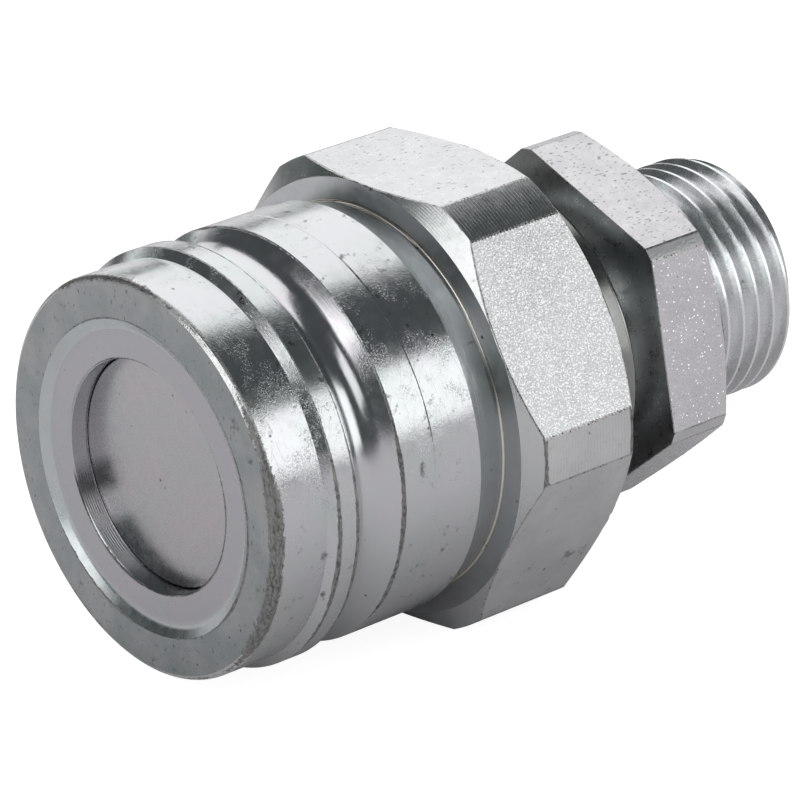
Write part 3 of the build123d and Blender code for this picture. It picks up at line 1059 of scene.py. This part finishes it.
@dataclass
class CouplingBodyPiece:
    """The plug, big hexagon and neck, turned from one bar and bored through."""

    nose_radius: float = 0.01445
    nose_length: float = 0.0044
    nose_edge: float = 0.0005
    rim_flat_start: float = 12.0
    rim_flat_end: float = 56.0
    ridge_radius: float = 0.01505
    ridge_start: float = 0.00498
    ridge_width: float = 0.0016
    groove_radius: float = 0.00195
    groove_floor: float = 0.01345
    groove_wall_angle: float = 50.0
    body_radius: float = 0.015
    body_start: float = 0.01073
    body_edge: float = 0.00015
    body_end: float = 0.01765
    scribe_station: float = 0.01368
    scribe_width: float = 0.00016
    scribe_depth: float = 0.000022
    root_radius: float = 0.01415
    root_fillet: float = 0.00035
    root_turn: float = 73.0
    hexagon_start: float = 0.02045
    hexagon_end: float = 0.0306
    hexagon_apothem: float = 0.016
    hexagon_margin: float = 0.0005
    corner_radius: float = 0.01757
    front_chamfer: float = 0.00095
    back_chamfer: float = 0.00115
    flat_edge: float = 0.00008
    corner_mark_pitch: float = 0.00029
    corner_mark_depth: float = 0.000045
    neck_radius: float = 0.0123
    neck_end: float = 0.0351
    neck_edge: float = 0.0007
    recess_rim: float = 0.0114
    recess_floor: float = 0.01058
    recess_depth: float = 0.00045
    recess_fillet: float = 0.0013
    bore_radius: float = 0.0084
    bore_edge: float = 0.00012
    bore_end: float = 0.0076
    inside_reach: float = 0.0022
    chamber_radius: float = 0.0105
    chamber_end: float = 0.0172
    guide_bore_radius: float = 0.009
    snap_groove_radius: float = 0.00975
    snap_groove_start: float = 0.0229
    snap_groove_width: float = 0.00118
    joint_radius: float = 0.00965
    joint_start: float = 0.0286
    joint_mouth: float = 0.0006

    def _rim(self) -> list[Point]:
        """Points of the nose's front edge: an arc with a worn flat in it.

        Returns:
            The points in order, as (station, radius).
        """
        centre = (self.nose_edge, self.nose_radius - self.nose_edge)
        flat_start = pi - radians(self.rim_flat_start)
        flat_end = pi - radians(self.rim_flat_end)
        return [
            (0.0, centre[1]),
            *arc(centre, self.nose_edge, pi, flat_start, steps=3),
            *arc(centre, self.nose_edge, flat_start, flat_end, steps=1),
            *arc(centre, self.nose_edge, flat_end, pi / 2, steps=6),
        ]

    def _groove(self) -> list[Point]:
        """Points of the ball groove, from the ridge to the top of its rear wall.

        Returns:
            The points in order, as (station, radius).
        """
        wall = radians(self.groove_wall_angle)
        top = self.body_radius - self.body_edge
        foot_radius = self.groove_floor + self.groove_radius * (1 - cos(wall))
        foot_station = self.body_start - (top - foot_radius) / tan(wall)
        centre = (foot_station - self.groove_radius * sin(wall), self.groove_floor + self.groove_radius)
        rise = centre[1] - self.ridge_radius
        start_angle = pi + asin(rise / self.groove_radius)
        start = (centre[0] - sqrt(self.groove_radius**2 - rise**2), self.ridge_radius)
        hollow = arc(centre, self.groove_radius, start_angle, 1.5 * pi + wall, steps=28)
        return [start, *hollow, (self.body_start, top)]

    def _corner_marks(self) -> list[Point]:
        """Fine turned grooves along the hexagon's corner land.

        Returns:
            The points in order, as (station, radius).
        """
        start = self.hexagon_start + self.front_chamfer
        length = self.hexagon_end - self.back_chamfer - start
        count = round(length / self.corner_mark_pitch)
        pitch = length / count
        points = []
        for number in range(count):
            points.append((start + number * pitch, self.corner_radius))
            points.append((start + (number + 0.5) * pitch, self.corner_radius - self.corner_mark_depth))
        return [*points, (start + length, self.corner_radius)]

    def _outline(self) -> list[Point]:
        """The whole turned section, outside and bore, as one closed outline.

        Returns:
            The points in order, as (station, radius).
        """
        half_scribe = self.scribe_width / 2
        groove = self._groove()
        outside = [
            (self.recess_depth, self.bore_radius + self.bore_edge),
            (self.recess_depth, self.recess_floor),
            (0.0, self.recess_rim),
            *self._rim(),
            (self.nose_length, self.nose_radius),
            (self.ridge_start, self.ridge_radius),
            *groove,
            (self.body_start + self.body_edge, self.body_radius),
            (self.scribe_station - half_scribe, self.body_radius),
            (self.scribe_station, self.body_radius - self.scribe_depth),
            (self.scribe_station + half_scribe, self.body_radius),
            (self.body_end, self.body_radius),
            (self.hexagon_start, self.root_radius),
            (self.hexagon_start, self.hexagon_apothem),
            *self._corner_marks(),
            (self.hexagon_end, self.hexagon_apothem),
            (self.hexagon_end, self.neck_radius),
            (self.neck_end, self.neck_radius),
        ]
        joint_run_in = self.joint_radius - self.guide_bore_radius
        snap_end = self.snap_groove_start + self.snap_groove_width
        inside = [
            (self.neck_end, self.joint_radius + self.joint_mouth),
            (self.neck_end - self.joint_mouth, self.joint_radius),
            (self.joint_start, self.joint_radius),
            (self.joint_start - joint_run_in, self.guide_bore_radius),
            (snap_end, self.guide_bore_radius),
            (snap_end, self.snap_groove_radius),
            (self.snap_groove_start, self.snap_groove_radius),
            (self.snap_groove_start, self.guide_bore_radius),
            (self.chamber_end + self.chamber_radius - self.guide_bore_radius, self.guide_bore_radius),
            (self.chamber_end, self.chamber_radius),
            (self.bore_end + self.chamber_radius - self.bore_radius, self.chamber_radius),
            (self.bore_end, self.bore_radius),
            (self.recess_depth + self.bore_edge, self.bore_radius),
        ]
        return outside + inside

    def build(self) -> bpy.types.Object:
        """Models and dresses the piece.

        Returns:
            The finished object.
        """
        bench = Bench("coupling_body_dressed")
        bench.draw(self._outline(), closed=True)
        bench.round_corner((self.hexagon_start, self.root_radius), self.root_fillet,
                           radians(self.root_turn), steps=9)
        bench.round_corner((self.neck_end, self.neck_radius), self.neck_edge, pi / 2, steps=10)
        recess_turn = atan2(self.recess_depth, self.recess_rim - self.recess_floor)
        recess_corner = (self.recess_depth, self.recess_floor)
        bench.round_corner(recess_corner, self.recess_fillet, recess_turn, steps=8)
        bench.turn()
        bench.mill_hexagon(self.hexagon_apothem, self.hexagon_start, self.hexagon_end, 0.0)
        bench.paint(self._finishes())
        bench.wear_edges([SIDE_FLAT_PAINTED_SHADE_AND_GLINTS.name, TOP_FLAT.name, LOWER_FLAT_PAINTED_LIGHT.name], self.flat_edge)
        bench.smooth(SHARP_ANGLE)
        return bench.object

    def _finishes(self) -> Coats:
        """The finishes and the faces that each one covers, the later ones on top.

        Returns:
            Pairs of a material and its test, which is given a face's centre and normal.
        """

        def on_hexagon(centre: Vector) -> bool:
            """Tells whether a place is on the outside of the big hexagon."""
            inside = self.hexagon_start < centre.x < self.hexagon_end
            return inside and radius_at(centre) > self.hexagon_apothem - self.hexagon_margin

        def is_flat(centre: Vector, normal: Vector) -> bool:
            """Tells whether a face, by its centre and normal, is a part of a flat."""
            squarest = max(abs(normal.dot(flat)) for flat in FLAT_NORMALS)
            return on_hexagon(centre) and abs(normal.x) < ACROSS_AXIS and abs(squarest - 1) < FLAT_TOLERANCE

        return [
            (BRIGHT_TURNED.make(), lambda c, n: True),
            (FRONT_FACE.make(), lambda c, n: n.x < -ALONG_AXIS and c.x < self.nose_edge
             and radius_at(c) > self.recess_rim - NEAR),
            (RIM_EDGE.make(), lambda c, n: c.x < self.nose_edge and -ALONG_AXIS < n.x < -RIM_LEAN
             and radius_at(c) > self.nose_radius - self.nose_edge),
            (RECESS.make(), lambda c, n: c.x < 2 * self.nose_edge
             and self.bore_radius < radius_at(c) < self.recess_rim),
            (RECESS_BEVEL_PAINTED_LIGHT.make(), lambda c, n: c.x < self.recess_depth and n.x > -ALONG_AXIS
             and self.recess_floor < radius_at(c) < self.recess_rim),
            (GROOVE.make(), lambda c, n: self.ridge_start + self.ridge_width < c.x < self.body_start
             and radius_at(c) > self.groove_floor - MERGE_DISTANCE),
            (BORE_WALL.make(), lambda c, n: c.x > self.recess_depth
             and radius_at(c) < self.bore_radius + self.inside_reach),
            (ROOT_CONE_PAINTED_SHADE.make(), lambda c, n: self.body_end < c.x <= self.hexagon_start
             and radius_at(c) > self.root_radius - NEAR),
            (ROOT_FILLET_PAINTED_HIGHLIGHT_TINT.make(), lambda c, n: radius_at(c) > self.root_radius - NEAR and n.x < -FILLET_LEAN
             and self.hexagon_start - self.root_fillet < c.x < self.hexagon_start - FILLET_MARGIN),
            (SHOULDER.make(), lambda c, n: n.x < -SQUARE_TO_AXIS
             and abs(c.x - self.hexagon_start) < MERGE_DISTANCE),
            (CHAMFER.make(), lambda c, n: on_hexagon(c) and SLOPED < abs(n.x) < SQUARE_TO_AXIS),
            (NECK_PAINTED_SHADE.make(), lambda c, n: c.x > self.hexagon_end
             or c.x > self.hexagon_start and n.x > SLOPED),
            (CORNER_LAND.make(), lambda c, n: on_hexagon(c)
             and self.hexagon_start + self.front_chamfer < c.x < self.hexagon_end - self.back_chamfer),
            (SIDE_FLAT_PAINTED_SHADE_AND_GLINTS.make(), is_flat),
            (TOP_FLAT.make(), lambda c, n: is_flat(c, n) and abs(n.z) > MOSTLY),
            (LOWER_FLAT_PAINTED_LIGHT.make(), lambda c, n: is_flat(c, n) and -MOSTLY < n.z < 0),
            (WORN_EDGE.make(), lambda c, n: False),
        ]


@dataclass
class ThreadAdapterPiece:
    """The adapter: spigot, screwed joint, small hexagon and a helical tube thread."""

    spigot_start: float = 0.0246
    spigot_radius: float = 0.00895
    spigot_chamfer: float = 0.0004
    seal_groove_start: float = 0.0252
    seal_groove_width: float = 0.0026
    seal_groove_radius: float = 0.00744
    joint_radius: float = 0.0096
    joint_start: float = 0.02865
    joint_end: float = 0.0344
    neck_radius: float = 0.0089
    hexagon_start: float = 0.0378
    hexagon_length: float = 0.00586
    hexagon_apothem: float = 0.012
    corner_radius: float = 0.01357
    back_chamfer: float = 0.00075
    hexagon_turn: float = 20.2
    flat_edge: float = 0.00006
    flat_margin: float = 0.0003
    relief_radius: float = 0.008
    relief_length: float = 0.0017
    thread_radius: float = 0.009
    thread_pitch: float = 0.0015
    thread_depth: float = 0.00086
    thread_steps: int = 96
    cutter_overshoot: float = 0.00012
    crest_share: float = 0.16
    root_share: float = 0.14
    tube_end: float = 0.0539
    end_chamfer: float = 0.00045
    cone_mouth: float = 0.007
    socket_radius: float = 0.00605
    socket_depth: float = 0.0095
    cone_half_angle: float = 12.0
    fluid_radius: float = 0.005
    spigot_mouth: float = 0.0064

    def _outline(self) -> list[Point]:
        """The whole turned section, outside and bore, as one closed outline.

        Returns:
            The points in order, as (station, radius).
        """
        groove_end = self.seal_groove_start + self.seal_groove_width
        hexagon_end = self.hexagon_start + self.hexagon_length
        relief_end = hexagon_end + self.relief_length
        cone_length = (self.cone_mouth - self.socket_radius) / tan(radians(self.cone_half_angle))
        return [
            (self.spigot_start, self.spigot_mouth),
            (self.spigot_start, self.spigot_radius - self.spigot_chamfer),
            (self.spigot_start + self.spigot_chamfer, self.spigot_radius),
            (self.seal_groove_start, self.spigot_radius),
            (self.seal_groove_start, self.seal_groove_radius),
            (groove_end, self.seal_groove_radius),
            (groove_end, self.spigot_radius),
            (self.joint_start - self.joint_radius + self.spigot_radius, self.spigot_radius),
            (self.joint_start, self.joint_radius),
            (self.joint_end, self.joint_radius),
            (self.joint_end + self.joint_radius - self.neck_radius, self.neck_radius),
            (self.hexagon_start, self.neck_radius),
            (self.hexagon_start, self.corner_radius),
            (hexagon_end - self.back_chamfer, self.corner_radius),
            (hexagon_end, self.hexagon_apothem),
            (hexagon_end, self.relief_radius),
            (relief_end, self.relief_radius),
            (relief_end + self.thread_radius - self.relief_radius, self.thread_radius),
            (self.tube_end - self.end_chamfer, self.thread_radius),
            (self.tube_end, self.thread_radius - self.end_chamfer),
            (self.tube_end, self.cone_mouth),
            (self.tube_end - cone_length, self.socket_radius),
            (self.tube_end - self.socket_depth, self.socket_radius),
            (self.tube_end - self.socket_depth, self.fluid_radius),
            (self.spigot_start + self.spigot_mouth - self.fluid_radius, self.fluid_radius),
        ]

    def _thread_cutter(self) -> bpy.types.Object:
        """A V-shaped helical bar whose path is the thread's groove.

        Returns:
            The closed cutter.
        """
        pitch = self.thread_pitch
        over = self.cutter_overshoot
        slope = (1 - self.crest_share - self.root_share) * pitch / 2 / self.thread_depth
        mouth_half = (1 - self.crest_share) * pitch / 2 + over * slope
        root_half = self.root_share * pitch / 2
        start = self.hexagon_start + self.hexagon_length - pitch / 2
        outer = self.thread_radius + over
        inner = self.thread_radius - self.thread_depth
        cutter = Bench("thread_cutter")
        outline = [
            (start - mouth_half, outer),
            (start - root_half, inner),
            (start + root_half, inner),
            (start + mouth_half, outer),
        ]
        cutter.draw(outline, closed=True)
        turns = ceil((self.tube_end - start) / pitch) + 1
        screw = cutter.object.modifiers.new("helix", "SCREW")
        screw.axis = "X"
        screw.angle = 2 * pi
        screw.screw_offset = pitch
        screw.iterations = turns
        screw.steps = screw.render_steps = self.thread_steps
        screw.use_merge_vertices = False
        bpy.ops.object.modifier_apply(modifier=screw.name)
        cutter.edit()
        cutter.merge()
        bpy.ops.mesh.select_all(action="DESELECT")
        bpy.ops.mesh.select_non_manifold()
        bpy.ops.mesh.edge_face_add()
        cutter.merge()
        cutter.finish_edit()
        return cutter.object

    def build(self) -> bpy.types.Object:
        """Models and dresses the piece.

        Returns:
            The finished object.
        """
        bench = Bench("thread_adapter_dressed")
        hexagon_end = self.hexagon_start + self.hexagon_length
        turned = radians(self.hexagon_turn)
        bench.draw(self._outline(), closed=True)
        bench.turn()
        bench.mill_hexagon(self.hexagon_apothem, self.hexagon_start, hexagon_end, turned)
        bench.cut_away(self._thread_cutter())
        bench.paint(self._finishes())
        bench.wear_edges([SPARKLING_FLAT.name, PITTED_FLAT.name], self.flat_edge)
        bench.smooth(SHARP_ANGLE)
        return bench.object

    def _finishes(self) -> Coats:
        """The finishes and the faces that each one covers, the later ones on top.

        Returns:
            Pairs of a material and its test, which is given a face's centre and normal.
        """
        hexagon_end = self.hexagon_start + self.hexagon_length
        turned = radians(self.hexagon_turn)
        first_flat = Vector((0.0, -sin(turned), cos(turned)))

        def is_flat(centre: Vector, normal: Vector) -> bool:
            """Tells whether a face, by its centre and normal, is a part of a flat."""
            inside = self.hexagon_start < centre.x < hexagon_end and abs(normal.x) < ACROSS_AXIS
            return inside and abs(radius_at(centre) - self.hexagon_apothem) < self.flat_margin

        return [
            (BRIGHT_TURNED.make(), lambda c, n: True),
            (SMALL_HEXAGON_FACE.make(), lambda c, n: abs(c.x - self.hexagon_start) < MERGE_DISTANCE),
            (THREAD_PAINTED_LIGHT.make(), lambda c, n: c.x > hexagon_end and radius_at(c) > self.cone_mouth),
            (BORE_WALL.make(), lambda c, n: radius_at(c) < self.cone_mouth),
            (SMALL_CORNER_LAND.make(), lambda c, n: self.hexagon_start + MERGE_DISTANCE < c.x
             < hexagon_end - self.back_chamfer and radius_at(c) > self.hexagon_apothem),
            (SPARKLING_FLAT.make(), is_flat),
            (PITTED_FLAT.make(), lambda c, n: is_flat(c, n) and abs(n.dot(first_flat)) > MOSTLY),
            (WORN_EDGE.make(), lambda c, n: False),
        ]


@dataclass
class PoppetPiece:
    """The valve poppet, with its flat face, seal groove, stop flange and stem."""

    head_radius: float = 0.00834
    face_station: float = 0.0019
    face_edge: float = 0.00015
    groove_start: float = 0.0045
    groove_width: float = 0.002
    groove_radius: float = 0.00674
    cone_start: float = 0.00743
    flange_radius: float = 0.00885
    flange_end: float = 0.009
    shoulder_radius: float = 0.0036
    shoulder_end: float = 0.01335
    stem_radius: float = 0.0025
    stem_end: float = 0.027
    stem_chamfer: float = 0.0006

    def _outline(self) -> list[Point]:
        """The poppet's section above its axis.

        Returns:
            The points in order, as (station, radius).
        """
        groove_end = self.groove_start + self.groove_width
        cone_end = self.cone_start + self.flange_radius - self.head_radius
        return [
            (self.face_station, 0.0),
            (self.face_station, self.head_radius),
            (self.groove_start, self.head_radius),
            (self.groove_start, self.groove_radius),
            (groove_end, self.groove_radius),
            (groove_end, self.head_radius),
            (self.cone_start, self.head_radius),
            (cone_end, self.flange_radius),
            (self.flange_end, self.flange_radius),
            (self.flange_end, self.shoulder_radius),
            (self.shoulder_end, self.shoulder_radius),
            (self.shoulder_end, self.stem_radius),
            (self.stem_end - self.stem_chamfer, self.stem_radius),
            (self.stem_end, self.stem_radius - self.stem_chamfer),
            (self.stem_end, 0.0),
        ]

    def build(self) -> bpy.types.Object:
        """Models and dresses the piece.

        Returns:
            The finished object.
        """
        bench = Bench("poppet_dressed")
        bench.draw(self._outline(), closed=False)
        bench.round_corner((self.face_station, self.head_radius), self.face_edge, pi / 2, steps=4)
        bench.turn(POPPET_LATHE_STEPS)
        bench.paint([
            (POPPET_FACE.make(), lambda c, n: True),
            (BORE_WALL.make(), lambda c, n: c.x > self.face_station + self.face_edge * 2),
        ])
        bench.smooth(SHARP_ANGLE)
        return bench.object


@dataclass
class ValveSpringPiece:
    """The compression spring behind the poppet, with closed ends."""

    start: float = 0.00902
    end: float = 0.02038
    wire_radius: float = 0.00055
    mean_radius: float = 0.0055
    closed_turns: float = 0.75
    open_turns: float = 3.0
    coil_gap: float = 0.00002
    steps_per_turn: int = 40
    squeezed_share: float = 0.56

    def _path(self) -> list[Vector]:
        """Points along the wire's middle, from the poppet's end to the guide's.

        Returns:
            The points in order.
        """
        first = self.start + self.wire_radius
        rise = self.end - self.wire_radius - first
        closed_rise = self.closed_turns * (2 * self.wire_radius + self.coil_gap)
        turns = 2 * self.closed_turns + self.open_turns
        count = round(turns * self.steps_per_turn)
        points = []
        for number in range(count + 1):
            turned = turns * number / count
            if turned < self.closed_turns:
                along = closed_rise * turned / self.closed_turns
            elif turned > turns - self.closed_turns:
                along = rise - closed_rise * (turns - turned) / self.closed_turns
            else:
                opened = (turned - self.closed_turns) / self.open_turns
                along = closed_rise + (rise - 2 * closed_rise) * opened
            angle = 2 * pi * turned
            across = (self.mean_radius * sin(angle), self.mean_radius * cos(angle))
            points.append(Vector((first + along, *across)))
        return points

    def build(self) -> bpy.types.Object:
        """Models and dresses the piece.

        Returns:
            The finished object.
        """
        bench = Bench("valve_spring_wire")
        bench.draw_path(self._path())
        bench.thicken(self.wire_radius)
        bench.paint([(SPRING_WIRE.make(), lambda c, n: True)])
        bench.smooth(WIRE_SHARP_ANGLE)
        return bench.object


@dataclass(frozen=True)
class Softbox:
    """A rectangular studio lamp, aimed at the coupling."""

    name: str
    direction: Triple
    along: Triple
    width: float
    height: float
    radiance: float

    def build(self, target: Vector) -> bpy.types.Object:
        """Adds the lamp.

        Args:
            target: the point that it faces.

        Returns:
            The lamp.
        """
        Bench.clear_selection()
        back = Vector(self.direction).normalized()
        bpy.ops.object.light_add(type="AREA", location=target + back * LAMP_DISTANCE)
        lamp = bpy.context.object
        lamp.name = self.name
        lamp.rotation_mode = "QUATERNION"
        across = Vector(self.along)
        across = (across - back * across.dot(back)).normalized()
        lamp.rotation_quaternion = Matrix((across, back.cross(across), back)).transposed().to_quaternion()
        lamp.data.shape = "RECTANGLE"
        lamp.data.size = self.width
        lamp.data.size_y = self.height
        lamp.data.energy = self.radiance * pi * self.width * self.height
        lamp.visible_camera = False
        return lamp


@dataclass
class Studio:
    """Camera, floor, surroundings and lamps."""

    camera_place: Triple = (-0.19887, -0.26297, 0.14536)
    camera_right: Triple = (0.75531, -0.65470, -0.02966)
    camera_up: Triple = (0.27719, 0.27812, 0.91968)
    lens: float = 237.84
    sensor: float = 36.0
    nearest: float = 0.01
    furthest: float = 50.0
    floor_level: float = -0.016
    floor_size: float = 6.0
    floor_colour: Colour = (0.28, 0.28, 0.28)
    floor_roughness: float = 0.9
    floor_in_metal: Colour = (0.41, 0.405, 0.415)
    far_floor_in_metal: Colour = (0.62, 0.615, 0.625)
    far_floor_start: float = 0.03
    far_floor_end: float = 0.1
    floor_glow: float = 0.9
    room_in_metal: Colour = (0.066, 0.074, 0.076)
    target: Triple = (0.025, 0.0, 0.0)
    lamps: tuple[Softbox, ...] = (
        Softbox("back_bank", (0.381, 0.525, 0.761), (0.0, 0.836, -0.549), 0.64, 0.72, 1.1),
        Softbox("low_back_bank", (0.45, 0.89, 0.09), (0.89, -0.45, 0.0), 0.31, 0.14, 0.7),
        Softbox("side_back_bank", (0.15, 0.93, 0.3), (1.0, -0.16, 0.0), 0.4, 0.17, 0.95),
        Softbox("right_bank", (0.594, -0.735, 0.29), (0.0, -0.37, -0.93), 0.33, 0.42, 1.35),
        Softbox("front_bank", (-0.92, 0.05, 0.36), (0.0, 1.0, 0.0), 0.4, 0.4, 1.5),
        Softbox("camera_bank", (-0.42, -0.68, 0.6), (0.85, -0.52, 0.0), 0.3, 0.3, 1.1),
        Softbox("rear_bank", (0.97, -0.14, 0.11), (0.0, 1.0, 0.0), 0.4, 0.15, 2.6),
    )

    def build(self) -> None:
        """Sets the whole studio up."""
        self._camera()
        self._floor()
        self._room()
        for lamp in self.lamps:
            lamp.build(Vector(self.target))
        bpy.context.scene.view_settings.view_transform = "Standard"

    def _camera(self) -> None:
        """Adds the camera at the photograph's place, as fitted to it."""
        Bench.clear_selection()
        bpy.ops.object.camera_add(location=self.camera_place)
        camera = bpy.context.object
        right = Vector(self.camera_right).normalized()
        up = Vector(self.camera_up)
        up = (up - right * up.dot(right)).normalized()
        turned = Matrix((right, up, right.cross(up))).transposed()
        camera.rotation_mode = "QUATERNION"
        camera.rotation_quaternion = turned.to_quaternion()
        camera.data.lens = self.lens
        camera.data.sensor_width = self.sensor
        camera.data.clip_start = self.nearest
        camera.data.clip_end = self.furthest
        bpy.context.scene.camera = camera

    def _floor_in_metal(self, graph: Graph) -> Socket:
        """The floor as metal mirrors it: shaded near the coupling and even behind it.

        Args:
            graph: the floor's nodes.

        Returns:
            The shader's socket.
        """
        near = graph.add("ShaderNodeBsdfDiffuse")
        near.inputs["Color"].default_value = (*self.floor_in_metal, 1.0)
        far = graph.add("ShaderNodeEmission")
        far.inputs["Color"].default_value = (*self.far_floor_in_metal, 1.0)
        aside = graph.parts(graph.add("ShaderNodeTexCoord").outputs["Object"])[1]
        share = graph.between(aside, self.far_floor_start, self.far_floor_end)
        return graph.blend(share, near.outputs[0], far.outputs[0])

    def _floor(self) -> None:
        """Adds the pale floor, which keeps the shadow and shows evenly in metal."""
        Bench.clear_selection()
        bpy.ops.mesh.primitive_plane_add(size=self.floor_size, location=(0.0, 0.0, self.floor_level))
        floor = bpy.context.object
        floor.name = "floor"
        material = bpy.data.materials.new("pale_floor")
        material.use_nodes = True
        graph = Graph(material.node_tree)
        shader = graph.tree.nodes["Principled BSDF"]
        shader.inputs["Base Color"].default_value = (*self.floor_colour, 1.0)
        shader.inputs["Roughness"].default_value = self.floor_roughness
        shader.inputs["Specular IOR Level"].default_value = 0.0
        ray = graph.add("ShaderNodeLightPath").outputs
        white = graph.add("ShaderNodeEmission")
        white.inputs["Strength"].default_value = self.floor_glow
        lit = graph.add("ShaderNodeAddShader")
        graph.feed(lit.inputs[0], shader.outputs[0])
        graph.feed(lit.inputs[1], white.outputs[0])
        seen = graph.math("MAXIMUM", ray["Is Camera Ray"], ray["Is Transmission Ray"])
        plain = graph.blend(seen, shader.outputs[0], lit.outputs[0])
        final = graph.blend(ray["Is Glossy Ray"], plain, self._floor_in_metal(graph))
        graph.feed(graph.tree.nodes["Material Output"].inputs["Surface"], final)
        floor.data.materials.append(material)

    def _room(self) -> None:
        """Makes the surroundings white to the eye and dim in the metal."""
        world = bpy.data.worlds.new("room")
        bpy.context.scene.world = world
        world.use_nodes = True
        graph = Graph(world.node_tree)
        dim = graph.tree.nodes["Background"]
        dim.inputs["Color"].default_value = (*self.room_in_metal, 1.0)
        white = graph.add("ShaderNodeBackground")
        white.inputs["Color"].default_value = (1.0, 1.0, 1.0, 1.0)
        glossy = graph.add("ShaderNodeLightPath").outputs["Is Glossy Ray"]
        surface = graph.blend(glossy, white.outputs[0], dim.outputs[0])
        graph.feed(graph.tree.nodes["World Output"].inputs["Surface"], surface)


def report(piece: bpy.types.Object) -> None:
    """Logs one finished piece."""
    triangles = sum(len(face.vertices) - 2 for face in piece.data.polygons)
    LOG.info("%s: %d triangles", piece.name, triangles)


def dress_inner_pieces() -> None:
    """Gives the solids inside the coupling their finishes."""
    for name, finish in INNER_FINISHES.items():
        material = finish.make()
        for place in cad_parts[name].material_slots:
            place.material = material
        report(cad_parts[name])


def main() -> None:
    """Builds the studio and every piece in order."""
    logging.basicConfig(level=logging.INFO)
    Studio().build()
    spring = ValveSpringPiece()
    dressings = (
        (CouplingBodyPiece(), "coupling_body", Slot.BODY, Body.COUPLING),
        (ThreadAdapterPiece(), "thread_adapter", Slot.ADAPTER, Body.COUPLING),
        (PoppetPiece(), "poppet", Slot.POPPET, Body.VALVE),
        (spring, "valve_spring", Slot.SPRING, Body.COUPLING),
    )
    for maker, node, slot, body in dressings:
        piece = maker.build()
        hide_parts(node)
        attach(piece, body.value)
        if maker is spring:
            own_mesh(piece)
        report(piece)
    dress_inner_pieces()


if __name__ == "__main__":
    main()
